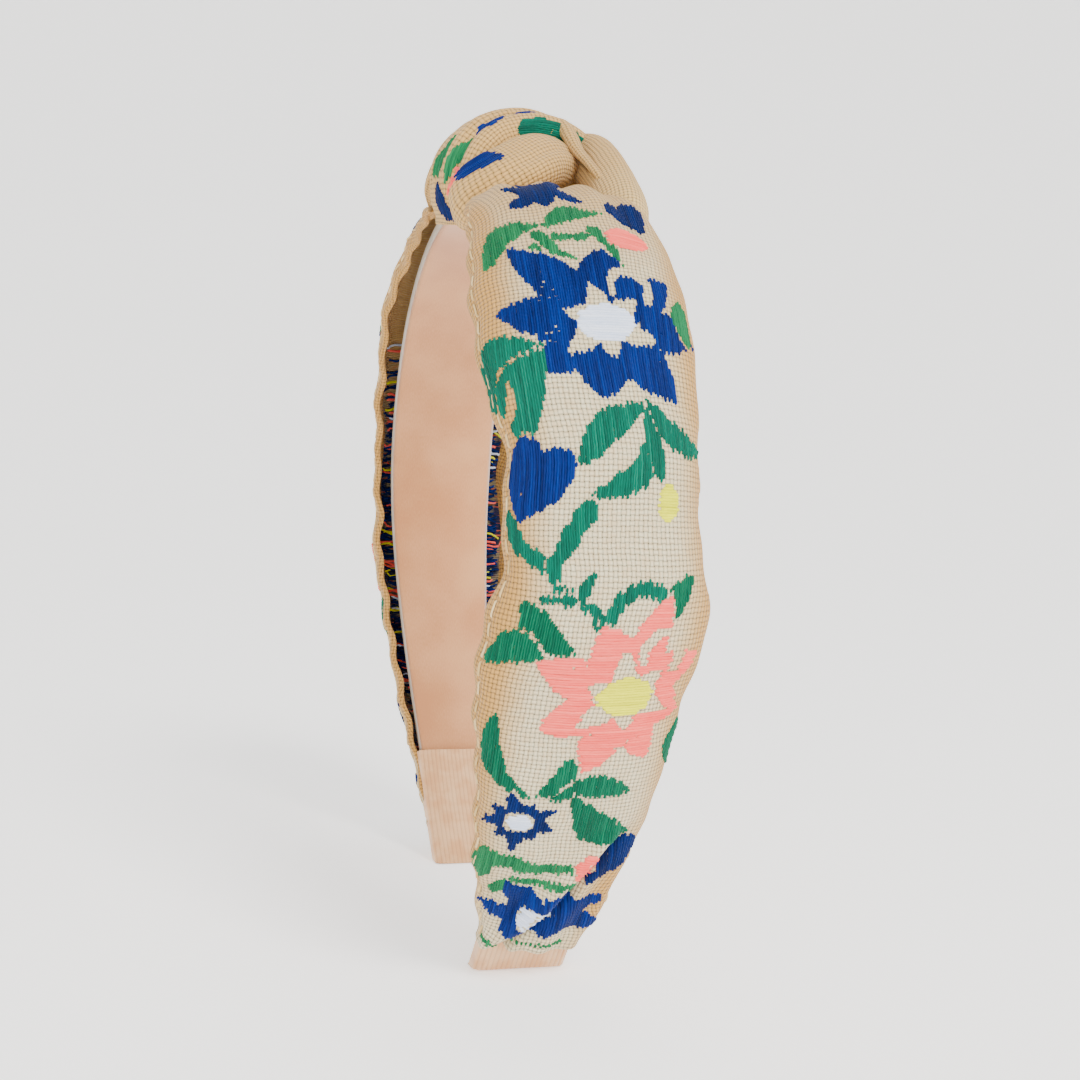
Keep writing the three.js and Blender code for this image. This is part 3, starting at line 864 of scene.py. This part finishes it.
UPPER = [(2.2, -12.2, -5.0), (3.0, -12.6, 4.5), (2.0, -8.2, 10.2), (0, 0, 12.4),
         (-2.0, 8.2, 10.2), (-3.0, 12.6, 4.5), (-2.2, 12.2, -5.0)]
LOWER = [(9.0, -12.6, -2.5), (14.0, -12.4, 1.0), (16.4, -8.8, 4.2), (15.6, -4.0, 6.6),
         (12.8, 0.8, 8.2), (9.4, 4.8, 7.6), (6.0, 7.4, 5.0)]
FOLD = [(-2.0, 9.6, 9.4), (5, 11.6, 9.4), (12, 12.1, 7.6), (20, 12.1, 5.8), (30, 11.8, 4.4),
        (39, 11.0, 1.2)]
FAR_FOLD = [(-2.0, 8.0, 7.4), (5, 10.2, 7.6), (12, 10.8, 5.8), (18, 10.4, 4.8), (24, 9.2, 4.4)]
FOLD_HEM = [(0.0, 4.6, 14.8), (5.0, 6.4, 15.0), (9.5, 7.2, 13.0), (14.0, 7.6, 10.6),
            (19.0, 8.4, 8.8), (27.0, 10.4, 6.4)]

UPPER_MOTIFS = [
    ("emerald", leaf((-11.2, 20), (-10.6, 35), 8.2, 0.14)),
    ("navy", leaf((-5.0, 15), (-7.2, 20), 3.6, 0.1)),
    ("navy", leaf((-6.4, 21.5), (-5.6, 26), 2.8, 0.0)),
    ("leaf", leaf((3.6, 8.5), (-2.0, 13.5), 4.4, 0.1)),
    ("leaf", leaf((-3.4, 7.6), (-5.6, 14), 3.2, 0.0)),
    ("coral", oval(-5.4, 7.0, 1.2, 2.8)),
    ("ink", leaf((1.0, 8.0), (-6.0, 0.5), 4.4, 0.1)),
]
LOWER_MOTIFS = [
    ("navy", leaf((3.4, 5.2), (0.8, 13.2), 5.6, -0.22)),
    ("coral", leaf((3.6, 2.0), (3.0, 6.0), 2.6, 0.1)),
]

upper, upper_flat = roll("knot_upper", UPPER, [20, 20, 20, 19, 20, 20, 20],
                         [8, 9, 11, 11.5, 11, 9, 8],
                         creased([(-6, -4, 1.5, 1.5), (6, 4, 1.5, 1.5), (1.5, -1.5, 0.7, 1.2)]),
                         motifs=UPPER_MOTIFS)
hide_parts("knot_loop")
for side, name in ((1, "right"), (-1, "left")):
    lower_path = LOWER if side == 1 else turned(LOWER)
    fold_path = FOLD if side == 1 else turned(FAR_FOLD)
    hem_path = FOLD_HEM if side == 1 else turned(FOLD_HEM)
    lower, lower_flat = roll(f"knot_lower_{name}", lower_path, [10, 11.5, 12, 12, 11, 8.5],
                             [7, 8.5, 9, 9, 8, 6], creased([(-3.5, -1.5, 0.4, 1.0)]), s_shift=3,
                             motifs=LOWER_MOTIFS)
    fold, fold_flat = roll(f"knot_fold_cloth_{name}", fold_path, [7, 7.4, 7.6, 7.8, 6.5],
                           [8.5, 10, 10, 8, 3.5], creased([(3.8, 4.5, 1.2, 0.9)]), s_shift=9)
    hem, _ = roll(f"knot_hem_{name}", hem_path, [3.0, 3.4, 3.2, 2.8, 2.4, 1.6],
                  [2.2, 2.6, 2.4, 2.0, 1.6, 0.8], creased([]), s_shift=4)
    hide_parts("knot_pass")
    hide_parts(f"knot_fold_{name}")

# ---- lining, foam and ribbon cups --------------------------------------------------------------
LINING_OFF = -0.3


def strip_piece(name, side_s, half, low, high, round_off, uv_scale, materials, bumps=None):
    """A long strip with rounded edges; side_s runs from one tip to the other."""
    cols = 25
    top = np.linspace(-1, 1, cols)
    rings, uvs = [], []
    for s in side_s:
        side = -1 if s < 0 else 1
        h = half(abs(s))
        edge = np.clip((1 - np.abs(top)) * h / round_off, 0, 1)
        swell = np.sqrt(1 - (1 - edge) ** 2)
        mid, span = (low + high) / 2, (high - low) / 2
        bump = 0 if bumps is None else bumps(s, top * h)
        upper_line = on_band(side, abs(s), top * h, mid + span * swell)
        lower_line = on_band(side, abs(s), top[::-1] * h, mid - (span * swell)[::-1] - bump)
        rings.append(np.concatenate([upper_line, lower_line[1:-1]]))
        across = np.concatenate([top, top[::-1][1:-1], [-1]]) * h
        uvs.append(np.stack([np.full(len(across), s), across * uv_scale], 1))
    return tube_piece(name, np.array(rings), np.array(uvs), materials)


def satin():
    """Suede-like satin: fine nap with faint lengthwise lustre."""
    n = Nodes("lining_satin", 0.62, sheen=0.55, specular=0.3)
    x, y = n.split(n.uv)
    cloud = n.noise(n.uv, 0.055, 3.0)
    nap = n.noise(n.join(n.math("MULTIPLY", x, 1.3), n.math("MULTIPLY", y, 5.0)), 1.0, 4.0)
    tone = n.math("ADD", n.math("MULTIPLY", cloud, 0.7), n.math("MULTIPLY", nap, 0.3))
    colour = n.blend(n.step(tone, 0.35, 0.65), srgb("B87A4A"), srgb("CB9262"))
    return n.finish(colour, nap, 0.00006, 0.5)


RIB_PITCH = 0.9


def ribbon():
    """Grosgrain: ribs along the band's length, with the fine filling between them."""
    n = Nodes("tip_ribbon", 0.55, sheen=0.35, specular=0.35)
    x, y = n.split(n.uv)
    rib = n.math("ABSOLUTE", n.math("SINE", n.math("MULTIPLY", y, math.pi / RIB_PITCH)))
    fine = n.math("ABSOLUTE", n.math("SINE", n.math("MULTIPLY", x, math.pi / 0.25)))
    cloud = n.noise(n.uv, 0.25, 3.0)
    lit = n.blend(n.step(cloud, 0.35, 0.65), srgb("D09A68"), srgb("DCAF80"))
    height = n.math("ADD", rib, n.math("MULTIPLY", fine, 0.12))
    # Painted shade: the ribbon darkens in the grooves between its ribs; lit is the colour away from
    # the grooves.
    groove = n.step(rib, 0.0, 0.6, 0.35, 0.0)
    return n.finish(n.blend(groove, lit, srgb("A06E42")), height, 0.0002, 0.7)


def foam():
    n = Nodes("foam", 0.95, specular=0.1)
    cells = n.noise(n.object, 2200.0, 2.0)
    colour = n.blend(n.step(cells, 0.35, 0.65), srgb("CFC9B8"), srgb("F2EEE2"))
    return n.finish(colour, cells, 0.0003, 0.8)


def plastic():
    n = Nodes("band_plastic", 0.38, specular=0.45)
    cloud = n.noise(n.object, 60.0, 3.0)
    grain = n.noise(n.object, 1800.0, 2.0)
    colour = n.blend(n.step(cloud, 0.3, 0.7), srgb("DAD3C6"), srgb("E8E3D8"))
    return n.finish(colour, grain, 0.00003, 0.4)


def lining_bumps(s, y):
    """Faint puckers where the lining is pulled over the band's curve."""
    return 0.07 * math.sin(0.23 * s) * np.cos(0.35 * y + 0.02 * s) + 0.05 * math.sin(0.071 * s + 1)


lining = strip_piece("lining", np.linspace(-174.5, 174.5, 241), lambda s: band_width(s) / 2,
                     -0.95, LINING_OFF, 0.8, 1.0, [satin()], lining_bumps)
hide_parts("lining_strip")
FOAM = foam()
for side, name in ((1, "right"), (-1, "left")):
    pad = strip_piece(f"foam_pad_{name}", side * np.linspace(24, 148, 60), lambda s: 7.5,
                      1.9, 4.1, 1.1, 1.0, [FOAM])
    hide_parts(f"foam_strip_{name}")

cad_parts["core_band"].data.materials.clear()
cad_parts["core_band"].data.materials.append(plastic())

RIBBON = ribbon()
CUP_FROM, CUP_TO = 155.0, 184.5


def cup(side, name):
    """A ribbon folded round the tip: a rounded sleeve, ribbed along its length."""
    rows, cols = 60, 132
    angle = 2 * np.pi * np.arange(cols) / cols
    rings, uvs = [], []
    for t in np.linspace(0, 1, rows):
        s = CUP_FROM + (CUP_TO - CUP_FROM) * t
        half = band_width(min(s, HALF_LENGTH)) / 2 + 1.0
        c, q = np.cos(angle), np.sin(angle)
        y = half * np.sign(c) * np.abs(c) ** 0.22
        lip = 0.25 * ridge(t, 0.03)
        top, low = 2.5 + lip, -1.85 - lip
        off = (top + low) / 2 + (top - low) / 2 * np.sign(q) * np.abs(q) ** 0.5
        rib = 0.11 * np.abs(np.sin(np.pi * y / RIB_PITCH)) * np.sign(q)
        ring = on_band(side, s, y, off + rib)
        spare = ring[:, 2].min()
        ring[:, 2] = np.maximum(ring[:, 2], 0.0)
        rings.append(ring)
        uvs.append(np.stack([np.full(cols + 1, s), np.append(y, y[0])], 1))
        if ring[:, 2].max() <= 0.0 and spare < 0:
            break
    return tube_piece(name, np.array(rings), np.array(uvs), [RIBBON], (0,))


for side, name in ((1, "right"), (-1, "left")):
    ribbon_cup = cup(side, f"ribbon_cup_{name}")
    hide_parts(f"tip_cup_{name}")

# ---- floor, lights and camera ------------------------------------------------------------------
FLOOR_GLOW = 0.8
LEVEL_FLOOR, BOWL_RADIUS = 0.3, 2.3


def studio():
    """A white bowl: a level floor whose rim curves up all round, so that no horizon shows."""
    turns = 96
    bend = np.linspace(0.05, 1.57, 32)
    level = np.array([0.01, 0.1, 0.2, LEVEL_FLOOR])
    radius = np.concatenate([level, LEVEL_FLOOR + BOWL_RADIUS * np.sin(bend)])
    height = np.concatenate([np.zeros(len(level)), BOWL_RADIUS * (1 - np.cos(bend))])
    radius = np.append(radius, 2.6)
    height = np.append(height, 2.6)
    angle = 2 * np.pi * np.arange(turns) / turns
    points = [(r * math.cos(a), r * math.sin(a), h - 0.0002)
              for r, h in zip(radius, height) for a in angle]
    faces = [(i * turns + j, i * turns + (j + 1) % turns, (i + 1) * turns + (j + 1) % turns,
              (i + 1) * turns + j) for i in range(len(radius) - 1) for j in range(turns)]
    faces.append(tuple(range(turns - 1, -1, -1)))
    mesh = bpy.data.meshes.new("floor")
    mesh.from_pydata(points, [], faces)
    mesh.shade_smooth()
    n = Nodes("floor", 0.9, specular=0.1)
    mesh.materials.append(n.finish(n.blend(n.noise(n.object, 3.0), srgb("F7F6F4"), srgb("FBFAF9"))))
    n.shader.inputs["Emission Color"].default_value = (1, 1, 1, 1)
    n.shader.inputs["Emission Strength"].default_value = FLOOR_GLOW
    floor = bpy.data.objects.new("floor", mesh)
    bpy.context.scene.collection.objects.link(floor)


studio()

world = bpy.data.worlds.new("studio")
world.use_nodes = True
world.node_tree.nodes["Background"].inputs["Color"].default_value = (1.0, 0.995, 0.985, 1)
world.node_tree.nodes["Background"].inputs["Strength"].default_value = 0.08
bpy.context.scene.world = world

VIEW_AZIMUTH = math.radians(74.6)
VIEW_ELEVATION = math.radians(5.3)
VIEW_ROLL = math.radians(2.29)
VIEW_DISTANCE = 0.3637
ORBIT_CENTRE = np.array([0, 0, 0.07124])
LOOK_AT = np.array([0, 0.00719, 0.07422])
LENS = 61.2

back = np.array([math.sin(VIEW_AZIMUTH) * math.cos(VIEW_ELEVATION),
                 -math.cos(VIEW_AZIMUTH) * math.cos(VIEW_ELEVATION), math.sin(VIEW_ELEVATION)])
eye = ORBIT_CENTRE + VIEW_DISTANCE * back


def unit(v):
    return v / np.linalg.norm(v)


def axes_towards(place, target, roll_angle=0.0):
    """Rows of a matrix for something at `place` that looks at target."""
    z = unit(place - target)
    x = unit(np.cross([0, 0, 1], z))
    y = np.cross(z, x)
    cos, sin = math.cos(roll_angle), math.sin(roll_angle)
    x, y = cos * x + sin * y, cos * y - sin * x
    return [[x[i], y[i], z[i], place[i]] for i in range(3)] + [[0, 0, 0, 1]]


def area_light(name, place, size, power, colour):
    data = bpy.data.lights.new(name, "AREA")
    data.size, data.energy, data.color = size, power, colour
    light = bpy.data.objects.new(name, data)
    bpy.context.scene.collection.objects.link(light)
    light.matrix_world = Matrix(axes_towards(np.array(place), ORBIT_CENTRE))
    return light


area_light("key", (0.80, 0.20, 0.85), 0.35, 13, (1.0, 0.985, 0.96))
area_light("fill", (0.75, -0.65, 0.25), 0.9, 2.0, (1.0, 0.99, 0.97))
area_light("top", (-0.6, 0.3, 2.2), 1.2, 16, (1.0, 0.985, 0.96))

camera_data = bpy.data.cameras.new("camera")
camera_data.lens = LENS
camera_data.sensor_width = 36
camera = bpy.data.objects.new("camera", camera_data)
bpy.context.scene.collection.objects.link(camera)
camera.matrix_world = Matrix(axes_towards(eye, LOOK_AT, VIEW_ROLL))
bpy.context.scene.camera = camera
